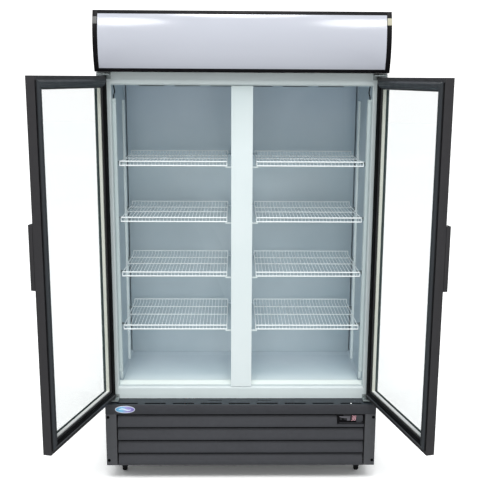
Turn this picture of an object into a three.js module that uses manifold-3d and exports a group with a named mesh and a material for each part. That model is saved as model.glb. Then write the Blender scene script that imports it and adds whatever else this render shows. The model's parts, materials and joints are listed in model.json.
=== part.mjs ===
// Glass door merchandiser: a two-door refrigerated display cabinet on casters, with a lit
// header box on top, wire shelves inside and a condensing unit behind a louvred front panel.
//
// Units are millimetres. +X is right, the front faces -Y, +Z is up and z = 0 is the floor.
// The origin is on the floor, at mid-width, under the face of the front frame. Both doors
// are modelled open, resting on their stops.

import * as THREE from 'three';
import { mergeVertices } from 'three/addons/utils/BufferGeometryUtils.js';
import Module from 'manifold-3d';

const wasm = await Module();
wasm.setup();

// ---------------------------------------------------------------- driving dimensions

const GAP = 0.3; // air between pieces that touch

const HALF_WIDTH = 600; // outer half width of the cabinet
const DEPTH = 640; // front frame face to back panel
const BASE_BOTTOM = 83; // underside of the base, above the casters
const BASE_TOP = 385; // top of the machine compartment
const ROOF = 1808; // top of the insulated cabinet
const SKIN = 1.2; // outer sheet thickness
const INLET = { x: -525, z: 230, halfWidth: 26, halfHeight: 17 }; // power inlet in the back sheet

const LINER = { halfWidth: 548, back: 590, floor: 436, ceiling: 1760, sheet: 1 };
const DUCT = { face: 500, sheet: 1.2, sideGap: 4, foot: 9 };
const FRAME = { depth: 25, openingHalf: 534, sill: 441, head: 1755 };
const MULLION = { halfWidth: 45, depth: 60 };

const HEADER = { top: 2050, back: 66, capWidth: 20, rail: 14, sheet: 3, bulge: 26, front: -43 };

const DOOR = { width: 596, thickness: 35, standOff: 10, bottom: 392, top: 1792, rail: 48 };
const GLASS = { thickness: 4, rebate: 12, innerFace: 4.3, outerFace: 26.3, pocketFrom: 4, pocketTo: 30.6 };
const GASKET = { inset: 14, width: 28, thickness: 8.2 };
const HANDLE = { bottom: 1029, top: 1271, width: 34, depth: 18, wall: 3.5 };
const PIVOT = { inset: 21, behind: 18, pinRadius: 5, pinLength: 26, clearance: 0.4 };
const BRACKET = { inner: 541, outer: 595, nose: 12, flange: 2, flangeWidth: 24 };
const LEFT_OPEN = 105.5; // degrees from shut
const RIGHT_OPEN = 103.5;

const SHELF = { inner: 62, outer: 522, front: 45, back: 450, plate: 5, lip: 15, stop: 14 };
const SHELF_BARS = { width: 7, gaps: 11 };
const SHELF_LEVELS = [710, 952, 1194, 1436];
const PILASTER = { depth: 10, width: 22, front: 95, rear: 370, bottom: 441, top: 1684 };
const CLIP = { reach: 24, width: 14, thickness: 5 };
const LIGHT_BAR = { width: 20, front: 27, back: 45, bottom: 500, top: 1700 };

const GRILLE = { front: -43, fasciaBottom: 326.4, fasciaTop: 372.5, post: 48, pitch: 61, sheet: 3 };
const LEDGE_SLOT = { count: 9, pitch: 124, length: 93, front: -36, back: -28 };
const CONTROL = { left: 428, right: 550, bottom: 283, top: 327.5, front: -41, back: -8, recess: 10 };
const KEY = { width: 10, height: 8, proud: 3, depth: 10, pitch: 18, firstX: 446, centreZ: 299 };

const CASTER = { x: 536, frontY: 66, rearY: 574, trail: 18, radius: 30, tread: 20, pad: 3 };

// ---------------------------------------------------------------- colours

const BLACK_STEEL = { color: 0x3a3b3f, roughness: 0.5, metalness: 0.3 };
const BLACK_PLASTIC = { color: 0x2b2c2f, roughness: 0.55, metalness: 0.0 };
const PANEL_BLACK = { color: 0x48484c, roughness: 0.6, metalness: 0.1 };
const ALUMINIUM = { color: 0xa9b4b9, roughness: 0.45, metalness: 0.6 };
const FRAME_GREY = { color: 0xbcc4c6, roughness: 0.5, metalness: 0.2 };
const WHITE_PLASTIC = { color: 0xeaf3f3, roughness: 0.45, metalness: 0.0 };
const WHITE_WIRE = { color: 0xf2f7f8, roughness: 0.35, metalness: 0.0 };
const CLEAR_GLASS = { color: 0xeef6f5, roughness: 0.05, metalness: 0.0 };
const SIGN_WHITE = { color: 0xe6e6f0, roughness: 0.3, metalness: 0.0 };
const RUBBER = { color: 0x141416, roughness: 0.8, metalness: 0.0 };
const ZINC = { color: 0xb4b8ba, roughness: 0.35, metalness: 0.9 };
const FOAM = { color: 0xe8dfb8, roughness: 0.95, metalness: 0.0 };
const BRIGHT_FIN = { color: 0x9c9fa1, roughness: 0.5, metalness: 0.8 };

// ---------------------------------------------------------------- geometry helpers

function box(x0, x1, y0, y1, z0, z1) {
  const geometry = new THREE.BoxGeometry(Math.abs(x1 - x0), Math.abs(y1 - y0), Math.abs(z1 - z0));
  geometry.translate((x0 + x1) / 2, (y0 + y1) / 2, (z0 + z1) / 2);
  return geometry;
}

function outline(points) {
  return new THREE.Shape(points.map(([a, b]) => new THREE.Vector2(a, b)));
}

// Extrudes a (y, z) outline along X.
function alongX(shape, x0, x1) {
  const geometry = new THREE.ExtrudeGeometry(shape, { depth: x1 - x0, bevelEnabled: false });
  geometry.applyMatrix4(new THREE.Matrix4().set(0, 0, 1, x0, 1, 0, 0, 0, 0, 1, 0, 0, 0, 0, 0, 1));
  return geometry;
}

// Extrudes an (x, z) outline along Y.
function alongY(shape, y0, y1) {
  const geometry = new THREE.ExtrudeGeometry(shape, { depth: y1 - y0, bevelEnabled: false });
  geometry.applyMatrix4(new THREE.Matrix4().set(1, 0, 0, 0, 0, 0, -1, y1, 0, 1, 0, 0, 0, 0, 0, 1));
  return geometry;
}

// Extrudes an (x, y) outline along Z.
function alongZ(shape, z0, z1) {
  const geometry = new THREE.ExtrudeGeometry(shape, { depth: z1 - z0, bevelEnabled: false });
  geometry.translate(0, 0, z0);
  return geometry;
}

// A closed round body: profile is (radius, height) pairs, turned about Z.
function turned(profile, sides) {
  const points = profile.map(([radius, height]) => new THREE.Vector2(radius, height));
  const geometry = new THREE.LatheGeometry(points, sides);
  geometry.rotateX(Math.PI / 2);
  return geometry;
}

function rod(radius, length, sides) {
  return turned([[0, 0], [radius, 0], [radius, length], [0, length]], sides);
}

function solidOf(geometry) {
  const bare = geometry.clone();
  bare.deleteAttribute('normal');
  bare.deleteAttribute('uv');
  const merged = mergeVertices(bare, 1e-4);
  const vertProperties = merged.attributes.position.array;
  const triVerts = new Uint32Array(merged.index.array);
  return new wasm.Manifold(new wasm.Mesh({ numProp: 3, vertProperties, triVerts }));
}

function geometryOf(solid) {
  const mesh = solid.getMesh();
  const geometry = new THREE.BufferGeometry();
  geometry.setAttribute('position', new THREE.Float32BufferAttribute(mesh.vertProperties, 3));
  geometry.setIndex(new THREE.Uint32BufferAttribute(mesh.triVerts, 1));
  geometry.computeVertexNormals();
  return geometry;
}

function join(first, ...others) {
  return geometryOf(others.reduce((solid, other) => solid.add(solidOf(other)), solidOf(first)));
}

function cut(first, ...others) {
  return geometryOf(others.reduce((solid, other) => solid.subtract(solidOf(other)), solidOf(first)));
}

const merchandiser = new THREE.Group();

function place(parent, name, geometry, finish) {
  const mesh = new THREE.Mesh(geometry, new THREE.MeshStandardMaterial(finish));
  mesh.name = name;
  parent.add(mesh);
  return mesh;
}

const sides = [['left', -1], ['right', 1]];

// ---------------------------------------------------------------- insulated cabinet

function sidePanel(side) {
  return box(side * (HALF_WIDTH - SKIN), side * HALF_WIDTH, 0, DEPTH, BASE_BOTTOM, ROOF);
}

const insideSkin = HALF_WIDTH - SKIN - GAP;

// The back sheet runs down behind the machine compartment, where rows of slots let air out
// and a window takes the power inlet.
function backPanel() {
  const sheet = box(-insideSkin, insideSkin, DEPTH - SKIN, DEPTH, BASE_BOTTOM, ROOF - GAP);
  const slots = [];
  for (let row = 0; row < 4; row += 1) {
    for (let column = -1; column <= 1; column += 1) {
      const x = column * 330;
      const z = 150 + row * 50;
      slots.push(box(x - 120, x + 120, DEPTH - SKIN - 1, DEPTH + 1, z, z + 16));
    }
  }
  const { x, z, halfWidth, halfHeight } = INLET;
  const [back, front] = [DEPTH + 1, DEPTH - SKIN - 1];
  const inlet = box(x - halfWidth, x + halfWidth, front, back, z - halfHeight, z + halfHeight);
  return cut(sheet, inlet, ...slots);
}

function topPanel() {
  return box(-insideSkin, insideSkin, FRAME.depth + GAP, DEPTH - SKIN - GAP, ROOF - SKIN, ROOF);
}

function foamInsulation() {
  const outer = insideSkin - GAP;
  const hollow = LINER.halfWidth + LINER.sheet + GAP;
  const block = box(-outer, outer, FRAME.depth + GAP, DEPTH - SKIN - GAP, BASE_TOP, ROOF - SKIN - GAP);
  const cavity = box(
    -hollow, hollow,
    0, LINER.back + LINER.sheet + GAP,
    LINER.floor - LINER.sheet - GAP, LINER.ceiling + LINER.sheet + GAP,
  );
  return cut(block, cavity);
}

function innerLiner() {
  const outer = LINER.halfWidth + LINER.sheet;
  const front = FRAME.depth + GAP;
  const bottom = LINER.floor - LINER.sheet;
  const shell = box(-outer, outer, front, LINER.back + LINER.sheet, bottom, LINER.ceiling + LINER.sheet);
  const inside = box(-LINER.halfWidth, LINER.halfWidth, 0, LINER.back, LINER.floor, LINER.ceiling);
  return cut(shell, inside);
}

// The air duct cover stands on a folded foot in front of the evaporator. Air enters along its
// two upright edges and leaves through slots along its top. Brackets on it carry the shelves'
// inner rear corners.
function ductPanel() {
  const edge = LINER.halfWidth - DUCT.sideGap;
  const [front, back] = [DUCT.face, DUCT.face + DUCT.sheet];
  const base = LINER.floor + GAP;
  const sheet = box(-edge, edge, front, back, base, LINER.ceiling - GAP);
  const foot = box(-edge, edge, front - DUCT.foot, back, base, base + DUCT.sheet);
  const slots = [];
  for (let column = -2.5; column <= 2.5; column += 1) {
    const x = column * 170;
    slots.push(box(x - 60, x + 60, front - 1, back + 1, LINER.ceiling - 14, LINER.ceiling - 6));
  }
  const cover = cut(sheet, ...slots);
  const brackets = [];
  for (const level of SHELF_LEVELS) {
    const top = level - SHELF.plate - GAP;
    const reach = SHELF.inner + 12;
    brackets.push(box(-reach, reach, SHELF.back - 12, DUCT.face + 1, top - CLIP.thickness, top));
  }
  return join(cover, foot, ...brackets);
}

function frontFrame() {
  const { depth, openingHalf, sill, head } = FRAME;
  const slab = box(-insideSkin, insideSkin, 0, depth, BASE_TOP, ROOF - GAP);
  return cut(slab, box(-openingHalf, openingHalf, -1, depth + 1, sill, head));
}

// The mullion closes the gap between the doors and carries the shelves' inner front corners.
function centreMullion() {
  const half = MULLION.halfWidth;
  const post = box(-half, half, 0, MULLION.depth, FRAME.sill + GAP, FRAME.head - GAP);
  const clips = SHELF_LEVELS.map((level) => {
    const top = level - SHELF.plate - SHELF.lip - GAP;
    const reach = SHELF.inner + 8;
    return box(-reach, reach, SHELF.front - 1, MULLION.depth - 3, top - CLIP.thickness, top);
  });
  return join(post, ...clips);
}

// A slotted post on the side wall with a clip under each shelf.
function pilaster(side, y) {
  const wall = LINER.halfWidth - GAP;
  const face = wall - PILASTER.depth;
  const post = box(side * face, side * wall, y, y + PILASTER.width, PILASTER.bottom, PILASTER.top);
  const middle = y + PILASTER.width / 2;
  const clips = SHELF_LEVELS.map((level) => {
    const top = level - SHELF.plate - GAP;
    const [y0, y1] = [middle - CLIP.width / 2, middle + CLIP.width / 2];
    return box(side * (face - CLIP.reach), side * (face + 1), y0, y1, top - CLIP.thickness, top);
  });
  return join(post, ...clips);
}

function lightBar(side) {
  const outer = LINER.halfWidth - 1;
  const { width, front, back, bottom, top } = LIGHT_BAR;
  return box(side * (outer - width), side * outer, front, back, bottom, top);
}

for (const [name, side] of sides) {
  place(merchandiser, `side_panel_${name}`, sidePanel(side), BLACK_STEEL);
}
place(merchandiser, 'back_panel', backPanel(), BLACK_STEEL);
place(merchandiser, 'top_panel', topPanel(), BLACK_STEEL);
place(merchandiser, 'foam_insulation', foamInsulation(), FOAM);
place(merchandiser, 'inner_liner', innerLiner(), ALUMINIUM);
place(merchandiser, 'duct_panel', ductPanel(), ALUMINIUM);
place(merchandiser, 'front_frame', frontFrame(), FRAME_GREY);
place(merchandiser, 'centre_mullion', centreMullion(), WHITE_PLASTIC);
for (const [name, side] of sides) {
  place(merchandiser, `pilaster_${name}_front`, pilaster(side, PILASTER.front), ALUMINIUM);
  place(merchandiser, `pilaster_${name}_rear`, pilaster(side, PILASTER.rear), ALUMINIUM);
  place(merchandiser, `light_bar_${name}`, lightBar(side), WHITE_PLASTIC);
}

// ---------------------------------------------------------------- shelves

// A wire shelf: a deck of bars that run front to back, a front rail that hangs below the deck
// and a stop along the back that stands above it.
function shelf(side, level) {
  const { inner, outer, front, back, plate, lip, stop } = SHELF;
  const { width: bar, gaps } = SHELF_BARS;
  const [x0, x1] = [side * inner, side * outer];
  const pitch = (outer - inner - bar) / gaps;
  const holes = [];
  for (let i = 0; i < gaps; i += 1) {
    const left = side * (inner + bar + i * pitch);
    const right = side * (inner + (i + 1) * pitch);
    holes.push(box(left, right, front + bar, back - bar, level - plate - 1, level + 1));
  }
  return join(
    cut(box(x0, x1, front, back, level - plate, level), ...holes),
    box(x0, x1, front, front + 4, level - plate - lip, level - 1),
    box(x0, x1, back - 4, back, level - 1, level + stop),
  );
}

for (const [name, side] of sides) {
  SHELF_LEVELS.forEach((level, index) => {
    place(merchandiser, `shelf_${name}_${index + 1}`, shelf(side, level), WHITE_WIRE);
  });
}

// ---------------------------------------------------------------- header light box

const headerBottom = ROOF + GAP;
const headerMiddle = (headerBottom + HEADER.top) / 2;
const headerChord = (HEADER.top - headerBottom) / 2;
const headerRadius = (headerChord ** 2 + HEADER.bulge ** 2) / (2 * HEADER.bulge);

// How far forward the bulging front stands at a height.
function headerFront(z) {
  const fall = headerRadius - Math.sqrt(headerRadius ** 2 - (z - headerMiddle) ** 2);
  return HEADER.front - HEADER.bulge + fall;
}

function headerArc(z0, z1, steps, inset) {
  const points = [];
  for (let i = 0; i <= steps; i += 1) {
    const z = z0 + ((z1 - z0) * i) / steps;
    points.push([headerFront(z) + inset, z]);
  }
  return points;
}

const headerInner = HALF_WIDTH - HEADER.capWidth;

// The back, top and bottom of the light box, folded round in front into two narrow rails.
function headerHousing() {
  const { top, back, rail, sheet } = HEADER;
  const [low, high] = [headerBottom + rail, top - rail];
  const shape = outline([
    ...headerArc(headerBottom, low, 2, 0),
    [headerFront(low) + 6, low],
    [headerFront(headerBottom) + 5, headerBottom + sheet],
    [back - sheet, headerBottom + sheet],
    [back - sheet, top - sheet],
    [headerFront(top) + 5, top - sheet],
    [headerFront(high) + 6, high],
    ...headerArc(high, top, 2, 0),
    [back, top],
    [back, headerBottom],
  ]);
  return alongX(shape, -headerInner + GAP, headerInner - GAP);
}

function headerCap(side) {
  const front = headerArc(headerBottom, HEADER.top, 12, 0);
  const shape = outline([...front, [HEADER.back, HEADER.top], [HEADER.back, headerBottom]]);
  return side < 0 ? alongX(shape, -HALF_WIDTH, -headerInner) : alongX(shape, headerInner, HALF_WIDTH);
}

function headerSign() {
  const [low, high] = [headerBottom + HEADER.rail + GAP, HEADER.top - HEADER.rail - GAP];
  const face = headerArc(low, high, 10, 0);
  const rear = headerArc(low, high, 10, HEADER.sheet).reverse();
  return alongX(outline([...face, ...rear]), -headerInner + GAP, headerInner - GAP);
}

function headerLamp() {
  const tube = rod(13, 1080, 12);
  tube.rotateY(Math.PI / 2);
  tube.translate(-540, 12, headerMiddle);
  return tube;
}

place(merchandiser, 'header_housing', headerHousing(), BLACK_STEEL);
place(merchandiser, 'header_cap_left', headerCap(-1), BLACK_PLASTIC);
place(merchandiser, 'header_cap_right', headerCap(1), BLACK_PLASTIC);
place(merchandiser, 'header_sign', headerSign(), SIGN_WHITE);
place(merchandiser, 'header_lamp', headerLamp(), WHITE_PLASTIC);

// ---------------------------------------------------------------- base and front panel

const casterSpots = [
  ['front_left', -CASTER.x, CASTER.frontY],
  ['front_right', CASTER.x, CASTER.frontY],
  ['rear_left', -CASTER.x, CASTER.rearY],
  ['rear_right', CASTER.x, CASTER.rearY],
];

// A folded tray with a pad under each caster.
function baseFrame() {
  const [edge, front, back] = [insideSkin, GAP, DEPTH - SKIN - GAP];
  const tray = box(-edge, edge, front, back, BASE_BOTTOM, BASE_BOTTOM + 32);
  const hollow = box(-edge + 2, edge - 2, front + 2, back - 2, BASE_BOTTOM + 3, BASE_BOTTOM + 40);
  const pads = casterSpots.map(([, x, y]) => (
    box(x - 32, x + 32, y - 32, y + 32, BASE_BOTTOM - CASTER.pad, BASE_BOTTOM + 1)
  ));
  return join(cut(tray, hollow), ...pads);
}

// The front panel: a fascia with a sloping ledge above four leaning louvres between two posts.
function frontGrille() {
  const { front, fasciaBottom, fasciaTop, post, pitch, sheet } = GRILLE;
  const rear = -GAP - 0.2;
  const ledge = BASE_TOP - GAP;
  const fascia = outline([
    [front, fasciaBottom],
    [front, fasciaTop],
    [rear, ledge],
    [rear, ledge - sheet],
    [front + sheet, fasciaTop - sheet],
    [front + sheet, fasciaBottom],
  ]);
  const inner = HALF_WIDTH - post;
  const pieces = [
    box(-HALF_WIDTH, -inner, front, rear, BASE_BOTTOM, fasciaTop - 1),
    box(inner, HALF_WIDTH, front, rear, BASE_BOTTOM, fasciaTop - 1),
    box(-inner - 1, inner + 1, front, front + 16, BASE_BOTTOM, BASE_BOTTOM + 7),
  ];
  for (let slat = 1; slat <= 4; slat += 1) {
    const low = fasciaBottom - slat * pitch + (slat === 4 ? 6 : 0);
    const high = fasciaBottom - (slat - 1) * pitch + 3;
    const lean = outline([[front, low], [front + sheet, low], [front + 20, high], [front + 17, high]]);
    pieces.push(alongX(lean, -inner - 1, inner + 1));
  }
  const window = box(
    CONTROL.left - GAP, CONTROL.right + GAP,
    front - 1, CONTROL.back + GAP,
    CONTROL.bottom - GAP, CONTROL.top + GAP,
  );
  const slots = [];
  for (let i = 0; i < LEDGE_SLOT.count; i += 1) {
    const x = (i - (LEDGE_SLOT.count - 1) / 2) * LEDGE_SLOT.pitch;
    const reach = LEDGE_SLOT.length / 2;
    slots.push(box(x - reach, x + reach, LEDGE_SLOT.front, LEDGE_SLOT.back, fasciaTop - 20, ledge + 1));
  }
  return cut(join(alongX(fascia, -HALF_WIDTH, HALF_WIDTH), ...pieces), window, ...slots);
}

const recessFloor = CONTROL.front + CONTROL.recess;

function keyX(index) {
  return KEY.firstX + index * KEY.pitch;
}

// The thermostat's moulded pocket, with a well for each key.
function controlHousing() {
  const { left, right, bottom, top, front, back } = CONTROL;
  const block = box(left, right, front, back, bottom, top);
  const recess = alongY(outline([
    [left + 4, top - 4],
    [left + 6, bottom + 12],
    [left + 16, bottom + 5],
    [right - 16, bottom + 5],
    [right - 6, bottom + 12],
    [right - 4, top - 4],
  ]), front - 1, recessFloor);
  const wells = [0, 1].map((index) => box(
    keyX(index) - KEY.width / 2 - 0.4, keyX(index) + KEY.width / 2 + 0.4,
    recessFloor - 1, recessFloor + KEY.depth,
    KEY.centreZ - KEY.height / 2 - 0.4, KEY.centreZ + KEY.height / 2 + 0.4,
  ));
  return cut(block, recess, ...wells);
}

function key(index) {
  const [x, z] = [keyX(index), KEY.centreZ];
  const [halfWidth, halfHeight] = [KEY.width / 2, KEY.height / 2];
  const rear = recessFloor + KEY.depth - 2;
  return box(x - halfWidth, x + halfWidth, recessFloor - KEY.proud, rear, z - halfHeight, z + halfHeight);
}

place(merchandiser, 'base_frame', baseFrame(), BLACK_STEEL);
place(merchandiser, 'front_grille', frontGrille(), PANEL_BLACK);
place(merchandiser, 'control_housing', controlHousing(), BLACK_PLASTIC);
place(merchandiser, 'key_down', key(0), BLACK_PLASTIC);
place(merchandiser, 'key_up', key(1), BLACK_PLASTIC);

// ---------------------------------------------------------------- refrigeration

const trayFloor = BASE_BOTTOM + 3;

function compressor() {
  const dome = turned([[0, 0], [66, 0], [72, 24], [72, 104], [58, 148], [22, 166], [0, 168]], 20);
  dome.translate(-330, 420, trayFloor + 5);
  return join(dome, box(-425, -235, 350, 490, trayFloor + GAP, trayFloor + 6));
}

// A coil: a row of upright fins threaded on tubes.
function finnedCoil(halfWidth, front, back, bottom, top, fins, tubes) {
  const pieces = [];
  for (let i = 0; i < fins; i += 1) {
    const x = -halfWidth + 8 + (i * (2 * halfWidth - 16)) / (fins - 1);
    pieces.push(box(x - 1, x + 1, front, back, bottom, top));
  }
  for (let i = 0; i < tubes; i += 1) {
    const tube = rod(6, 2 * halfWidth, 8);
    tube.rotateY(Math.PI / 2);
    tube.translate(-halfWidth, (front + back) / 2, bottom + ((i + 0.5) * (top - bottom)) / tubes);
    pieces.push(tube);
  }
  return join(...pieces);
}

// An axial fan: a hub with five pitched blades, turning about Y.
function condenserFan() {
  const hub = rod(28, 30, 16);
  hub.rotateX(-Math.PI / 2);
  const blades = [];
  for (let i = 0; i < 5; i += 1) {
    const blade = new THREE.BoxGeometry(58, 3, 84);
    blade.rotateZ(THREE.MathUtils.degToRad(24));
    blade.translate(0, 15, 63);
    blade.rotateY((i * 2 * Math.PI) / 5);
    blades.push(blade);
  }
  return join(hub, ...blades);
}

// A cross-flow blower rotor, lying across the duct above the coil.
function evaporatorFan() {
  const rotor = turned([
    [0, 0], [5, 0], [5, 10], [30, 10], [30, 590], [5, 590], [5, 600], [0, 600],
  ], 12);
  rotor.rotateY(Math.PI / 2);
  rotor.translate(-300, 0, 0);
  return rotor;
}

place(merchandiser, 'compressor', compressor(), BLACK_STEEL);
place(merchandiser, 'condenser_coil', finnedCoil(250, 60, 130, trayFloor + GAP, 345, 13, 3), BRIGHT_FIN);
place(merchandiser, 'condenser_fan', condenserFan(), ALUMINIUM).position.set(0, 150, 216);
place(merchandiser, 'evaporator_coil', finnedCoil(450, 508, 584, 480, 690, 16, 3), BRIGHT_FIN);
place(merchandiser, 'evaporator_fan', evaporatorFan(), ALUMINIUM).position.set(0, 546, 760);

// ---------------------------------------------------------------- casters

// A fork that swivels under its pad, with the axle that the wheel turns on.
function casterFork() {
  const top = BASE_BOTTOM - CASTER.pad - GAP;
  const { trail, radius, tread } = CASTER;
  const race = rod(24, top - 71, 20);
  race.translate(0, 0, 71);
  const leg = outline([[-12, 68], [24, 68], [28, radius], [24, 21], [12, 21], [8, radius]]);
  const reach = tread / 2 + 1.5;
  const axle = rod(4, 2 * reach + 4, 12);
  axle.rotateY(Math.PI / 2);
  axle.translate(-reach - 2, trail, radius);
  return join(
    race,
    box(-reach - 3, reach + 3, -12, 24, 66, 72),
    alongX(leg, -reach - 3, -reach),
    alongX(leg, reach, reach + 3),
    axle,
  );
}

function casterWheel() {
  const { radius, tread } = CASTER;
  const half = tread / 2;
  const wheel = turned([
    [4.5, -half], [radius - 4, -half], [radius, -half + 4],
    [radius, half - 4], [radius - 4, half], [4.5, half], [4.5, -half],
  ], 24);
  wheel.rotateY(Math.PI / 2);
  return wheel;
}

for (const [name, x, y] of casterSpots) {
  const caster = new THREE.Group();
  caster.position.set(x, y, 0);
  place(caster, `caster_fork_${name}`, casterFork(), ZINC);
  place(caster, `caster_wheel_${name}`, casterWheel(), RUBBER).position.set(0, CASTER.trail, CASTER.radius);
  merchandiser.add(caster);
}

// ---------------------------------------------------------------- doors

// Door pieces are drawn shut, in the frame of the hinge pivot: u runs from the hinge edge to
// the free edge, v from the inner face to the outer face, and side mirrors the right door.

const pivotX = HALF_WIDTH - PIVOT.inset;
const pivotY = -DOOR.standOff - PIVOT.behind;

function across(side, u) {
  return side * (PIVOT.inset - u);
}

function outward(v) {
  return PIVOT.behind - v;
}

function slab(side, u0, u1, v0, v1, z0, z1) {
  return box(across(side, u0), across(side, u1), outward(v0), outward(v1), z0, z1);
}

function ring(side, inset, width, v0, v1) {
  const { bottom, top } = DOOR;
  const far = DOOR.width - inset;
  const inner = inset + width;
  const block = slab(side, inset, far, v0, v1, bottom + inset, top - inset);
  const window = slab(side, inner, far - width, v0 - 1, v1 + 1, bottom + inner, top - inner);
  return cut(block, window);
}

function doorFrame(side) {
  const { rail, thickness, bottom, top } = DOOR;
  const pocket = slab(
    side,
    rail - GLASS.rebate, DOOR.width - rail + GLASS.rebate,
    GLASS.pocketFrom, GLASS.pocketTo,
    bottom + rail - GLASS.rebate, top - rail + GLASS.rebate,
  );
  const bores = [bottom - 1, top - PIVOT.pinLength - 1].map((z) => {
    const bore = rod(PIVOT.pinRadius + PIVOT.clearance, PIVOT.pinLength + 2, 16);
    bore.translate(0, 0, z);
    return bore;
  });
  return cut(ring(side, 0, rail, 0, thickness), pocket, ...bores);
}

function pane(side, face) {
  const edge = DOOR.rail - GLASS.rebate + GAP;
  return slab(
    side,
    edge, DOOR.width - edge,
    face, face + GLASS.thickness,
    DOOR.bottom + edge, DOOR.top - edge,
  );
}

// A J-shaped pull along the free edge, open towards the hinge for the fingers.
function doorHandle(side) {
  const { width, depth, wall, bottom, top } = HANDLE;
  const free = DOOR.width;
  const [near, far] = [DOOR.thickness + GAP, DOOR.thickness + depth];
  const profile = [
    [free - width, near], [free, near], [free, far], [free - width + 4, far],
    [free - width + 4, far - wall], [free - wall, far - wall],
    [free - wall, near + wall], [free - width, near + wall],
  ];
  return alongZ(outline(profile.map(([u, v]) => [across(side, u), outward(v)])), bottom, top);
}

// An angle bracket on the front frame. Its plate carries the pin that the door turns on. Its
// flange lies flat on the frame, beside the path that the door's hinge corner sweeps.
function hingeBracket(side, plate, flange, pin) {
  const [inner, outer] = [side * BRACKET.inner, side * BRACKET.outer];
  const flangeEnd = side * (BRACKET.inner + BRACKET.flangeWidth);
  const stud = rod(PIVOT.pinRadius, pin[1] - pin[0], 16);
  stud.translate(side * pivotX, pivotY, pin[0]);
  return join(
    box(inner, outer, pivotY - BRACKET.nose, -GAP, ...plate),
    box(inner, flangeEnd, -GAP - BRACKET.flange, -GAP, ...flange),
    stud,
  );
}

for (const [name, side, degrees] of [['left', -1, LEFT_OPEN], ['right', 1, RIGHT_OPEN]]) {
  const door = new THREE.Group();
  door.position.set(side * pivotX, pivotY, 0);
  door.rotation.z = side * THREE.MathUtils.degToRad(degrees);
  place(door, `${name}_door_frame`, doorFrame(side), BLACK_PLASTIC);
  place(door, `${name}_door_inner_glass`, pane(side, GLASS.innerFace), CLEAR_GLASS);
  place(door, `${name}_door_outer_glass`, pane(side, GLASS.outerFace), CLEAR_GLASS);
  const seal = ring(side, GASKET.inset, GASKET.width, -GASKET.thickness - GAP, -GAP);
  place(door, `${name}_door_gasket`, seal, RUBBER);
  place(door, `${name}_door_handle`, doorHandle(side), BLACK_PLASTIC);
  merchandiser.add(door);

  const above = DOOR.top + 4;
  const below = DOOR.bottom - 2;
  const topPin = [DOOR.top - PIVOT.pinLength + 1, above + 2];
  const bottomPin = [below - 2, DOOR.bottom + PIVOT.pinLength - 1];
  const upper = hingeBracket(side, [above, above + 4], [DOOR.top - 12, ROOF - 1], topPin);
  const lower = hingeBracket(side, [below - 4, below], [below - 3, DOOR.bottom + 13], bottomPin);
  place(merchandiser, `hinge_top_${name}`, upper, ZINC);
  place(merchandiser, `hinge_bottom_${name}`, lower, ZINC);
}

export default merchandiser;
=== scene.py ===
"""Looks for a two-door glass merchandiser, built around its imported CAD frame.

Shapes are written in millimetres and made in metres. Every size that the CAD model already
has is read from its boxes. The rest are small details of the pieces made here.
"""

import json
from math import cos, hypot, pi, radians, sin, sqrt, tan

import bmesh
import bpy
from mathutils import Matrix, Vector


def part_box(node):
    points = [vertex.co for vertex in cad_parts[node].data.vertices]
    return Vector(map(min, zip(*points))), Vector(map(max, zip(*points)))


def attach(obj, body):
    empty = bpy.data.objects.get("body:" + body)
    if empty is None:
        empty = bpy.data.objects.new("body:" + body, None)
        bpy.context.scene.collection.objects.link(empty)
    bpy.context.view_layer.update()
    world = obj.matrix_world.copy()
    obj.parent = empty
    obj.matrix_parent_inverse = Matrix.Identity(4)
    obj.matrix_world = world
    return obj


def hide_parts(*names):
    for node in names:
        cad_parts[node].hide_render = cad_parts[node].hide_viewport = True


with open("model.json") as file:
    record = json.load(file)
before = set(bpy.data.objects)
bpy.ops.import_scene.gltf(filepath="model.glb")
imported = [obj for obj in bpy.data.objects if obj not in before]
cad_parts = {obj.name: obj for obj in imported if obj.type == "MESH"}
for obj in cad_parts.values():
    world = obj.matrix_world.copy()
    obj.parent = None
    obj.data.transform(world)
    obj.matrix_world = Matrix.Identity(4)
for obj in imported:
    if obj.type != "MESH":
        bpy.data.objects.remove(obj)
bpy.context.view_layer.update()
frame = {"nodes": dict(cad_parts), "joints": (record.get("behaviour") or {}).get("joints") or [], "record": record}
CABINET = "cabinet"
MM = 0.001
SIDES = (("left", -1), ("right", 1))
M = {}  # each material by its name


class Box:
    """A node's box in millimetres."""

    def __init__(self, low, high):
        self.x0, self.y0, self.z0 = (c / MM for c in low)
        self.x1, self.y1, self.z1 = (c / MM for c in high)
        self.mid_x = (self.x0 + self.x1) / 2
        self.mid_y = (self.y0 + self.y1) / 2
        self.mid_z = (self.z0 + self.z1) / 2

    def near(self, side):
        """The x of the face nearer the centre line, on that side."""
        return self.x1 if side < 0 else self.x0

    def far(self, side):
        return self.x0 if side < 0 else self.x1


def cad(node):
    return Box(*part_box(node))


def cad_mesh(node):
    return frame["nodes"][node].data


def add_object(name, data):
    obj = bpy.data.objects.new(name, data)
    bpy.context.scene.collection.objects.link(obj)
    return obj


# ---------------- materials

GLOSS_SPREAD = 0.06
SCUFF_PALENESS = 1.9


def srgb(red, green, blue):
    def linear(c):
        c = c / 255
        return c / 12.92 if c <= 0.04045 else ((c + 0.055) / 1.055) ** 2.4

    return (linear(red), linear(green), linear(blue), 1.0)


def shade(colour, factor):
    return tuple(min(1.0, c * factor) for c in colour[:3]) + (1.0,)


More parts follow.
